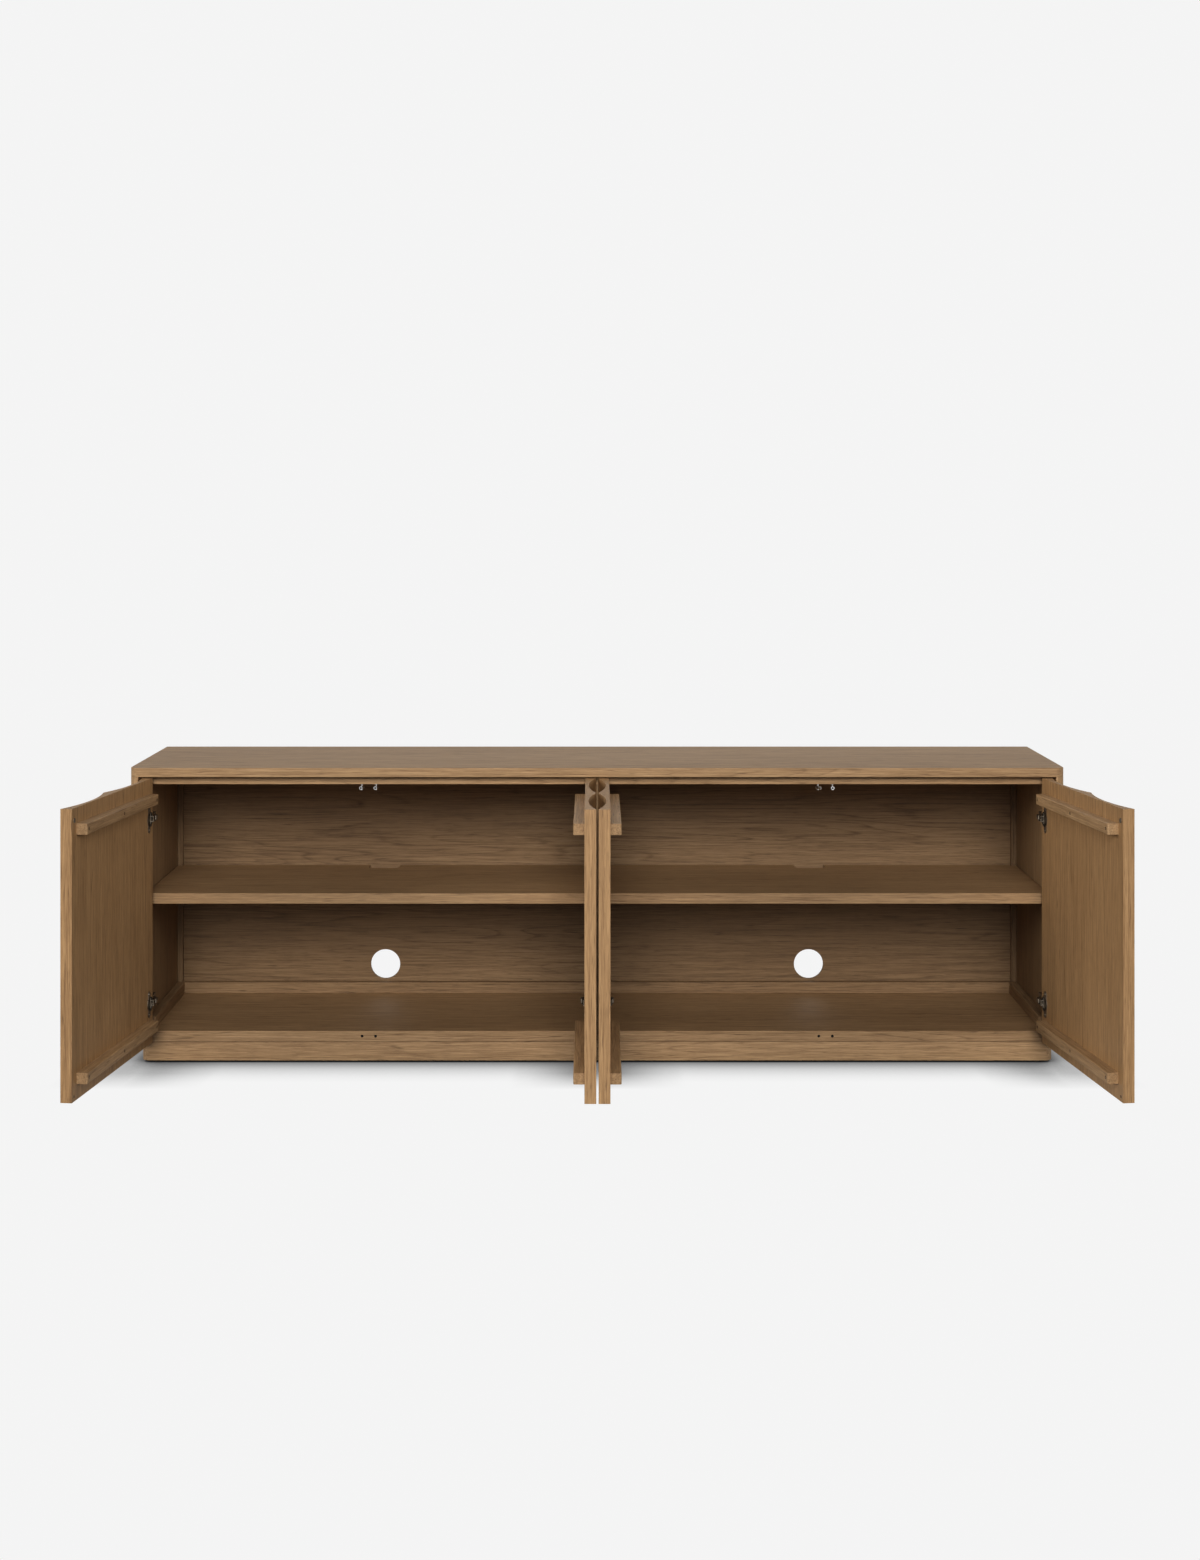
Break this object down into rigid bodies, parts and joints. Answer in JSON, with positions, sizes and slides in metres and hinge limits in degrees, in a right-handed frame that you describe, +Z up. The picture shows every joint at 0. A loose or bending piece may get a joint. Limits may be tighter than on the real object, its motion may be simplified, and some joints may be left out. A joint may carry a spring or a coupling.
{
  "type": "media cabinet",
  "caption": "Long low oak media cabinet with carved hinged doors over shelved bays, swivel catches, cable ports and a recessed plinth.",
  "frame": {"origin": "on the floor, under the middle of the box round the cabinet with all four doors open", "axes": "+X along the cabinet's width to the right as seen from the front, +Y to its back, +Z up"},
  "size_m": [2.2764, 0.983, 0.701],
  "materials": {
    "oak": "matt oiled oak",
    "hinge_steel": "nickel-plated steel",
    "screw_steel": "plated steel",
    "batten_screw_steel": "bronzed steel",
    "shelf_pin_steel": "plated steel",
    "catch_zinc": "bright zinc",
    "magnet_dark": "dark",
    "glide_plastic": "dark plastic"
  },
  "bodies": {
    "root": {"top_panel": "oak", "sub_top": "oak", "side_panel_left": "oak", "side_panel_right": "oak", "side_liner_left": "oak", "side_liner_right": "oak", "centre_partition": "oak", "bottom_panel": "oak", "back_panel_left": "oak", "back_panel_right": "oak", "rear_floor_cleats": "oak", "side_floor_cleats": "oak", "corner_stiles": "oak", "plinth_front": "oak", "plinth_back": "oak", "plinth_left": "oak", "plinth_right": "oak", "plinth_braces": "oak", "floor_glides": "glide_plastic", "shelf_left": "oak", "shelf_right": "oak", "shelf_pins": "shelf_pin_steel", "hinge_arms": "hinge_steel", "hinge_plates": "hinge_steel", "hinge_plate_screws": "screw_steel", "catch_posts": "catch_zinc", "floor_magnets": "magnet_dark"},
    "left_outer_door": {"left_outer_door_panel": "oak", "left_outer_door_battens": "oak", "left_outer_door_batten_screws": "batten_screw_steel", "left_outer_door_hinge_cups": "hinge_steel", "left_outer_door_cup_screws": "screw_steel", "left_outer_door_catch_discs": "catch_zinc"},
    "left_outer_links": {"left_outer_hinge_links": "hinge_steel"},
    "left_inner_door": {"left_inner_door_panel": "oak", "left_inner_door_battens": "oak", "left_inner_door_batten_screws": "batten_screw_steel", "left_inner_door_hinge_cups": "hinge_steel", "left_inner_door_cup_screws": "screw_steel", "left_inner_door_catch_discs": "catch_zinc"},
    "left_inner_links": {"left_inner_hinge_links": "hinge_steel"},
    "right_inner_door": {"right_inner_door_panel": "oak", "right_inner_door_battens": "oak", "right_inner_door_batten_screws": "batten_screw_steel", "right_inner_door_hinge_cups": "hinge_steel", "right_inner_door_cup_screws": "screw_steel", "right_inner_door_catch_discs": "catch_zinc"},
    "right_inner_links": {"right_inner_hinge_links": "hinge_steel"},
    "right_outer_door": {"right_outer_door_panel": "oak", "right_outer_door_battens": "oak", "right_outer_door_batten_screws": "batten_screw_steel", "right_outer_door_hinge_cups": "hinge_steel", "right_outer_door_cup_screws": "screw_steel", "right_outer_door_catch_discs": "catch_zinc"},
    "right_outer_links": {"right_outer_hinge_links": "hinge_steel"},
    "left_outer_catch": {"left_outer_catch_barrel": "catch_zinc"},
    "left_inner_catch": {"left_inner_catch_barrel": "catch_zinc"},
    "right_inner_catch": {"right_inner_catch_barrel": "catch_zinc"},
    "right_outer_catch": {"right_outer_catch_barrel": "catch_zinc"}
  },
  "joints": [
    {"name": "left_outer_door_hinge", "type": "hinge", "parent": "root", "child": "left_outer_door", "pos_m": [-1.069, 0.0395, 0.3645], "axis": [0, 0, 1], "range_deg": [0, 97]},
    {"name": "left_outer_link_pivot", "type": "hinge", "parent": "left_outer_door", "child": "left_outer_links", "pos_m": [-1.0513, 0.03621, 0.3645], "axis": [0, 0, 1], "range_deg": [-165.56, 0]},
    {"name": "left_inner_door_hinge", "type": "hinge", "parent": "root", "child": "left_inner_door", "pos_m": [-0.0075, 0.0395, 0.3645], "axis": [0, 0, 1], "range_deg": [-90, 0]},
    {"name": "left_inner_link_pivot", "type": "hinge", "parent": "left_inner_door", "child": "left_inner_links", "pos_m": [-0.02519, 0.03618, 0.3645], "axis": [0, 0, 1], "range_deg": [0, 150.55]},
    {"name": "right_inner_door_hinge", "type": "hinge", "parent": "root", "child": "right_inner_door", "pos_m": [0.0075, 0.0395, 0.3645], "axis": [0, 0, 1], "range_deg": [0, 90]},
    {"name": "right_inner_link_pivot", "type": "hinge", "parent": "right_inner_door", "child": "right_inner_links", "pos_m": [0.02519, 0.03618, 0.3645], "axis": [0, 0, 1], "range_deg": [-150.55, 0]},
    {"name": "right_outer_door_hinge", "type": "hinge", "parent": "root", "child": "right_outer_door", "pos_m": [1.069, 0.0395, 0.3645], "axis": [0, 0, 1], "range_deg": [-97, 0]},
    {"name": "right_outer_link_pivot", "type": "hinge", "parent": "right_outer_door", "child": "right_outer_links", "pos_m": [1.0513, 0.03621, 0.3645], "axis": [0, 0, 1], "range_deg": [0, 165.56]},
    {"name": "left_outer_catch_swivel", "type": "hinge", "parent": "root", "child": "left_outer_catch", "pos_m": [-0.557, 0.071, 0.65], "axis": [0, 0, 1], "range_deg": [-32, 58]},
    {"name": "left_inner_catch_swivel", "type": "hinge", "parent": "root", "child": "left_inner_catch", "pos_m": [-0.523, 0.071, 0.65], "axis": [0, 0, 1], "range_deg": [-32, 58]},
    {"name": "right_inner_catch_swivel", "type": "hinge", "parent": "root", "child": "right_inner_catch", "pos_m": [0.523, 0.071, 0.65], "axis": [0, 0, 1], "range_deg": [-70, 20]},
    {"name": "right_outer_catch_swivel", "type": "hinge", "parent": "root", "child": "right_outer_catch", "pos_m": [0.557, 0.071, 0.65], "axis": [0, 0, 1], "range_deg": [-45, 45]}
  ],
  "couplings": [
    {"joint": "left_outer_link_pivot", "follows": "left_outer_door_hinge", "ratio": -1.7068},
    {"joint": "left_inner_link_pivot", "follows": "left_inner_door_hinge", "ratio": -1.6727},
    {"joint": "right_inner_link_pivot", "follows": "right_inner_door_hinge", "ratio": -1.6727},
    {"joint": "right_outer_link_pivot", "follows": "right_outer_door_hinge", "ratio": -1.7068}
  ]
}
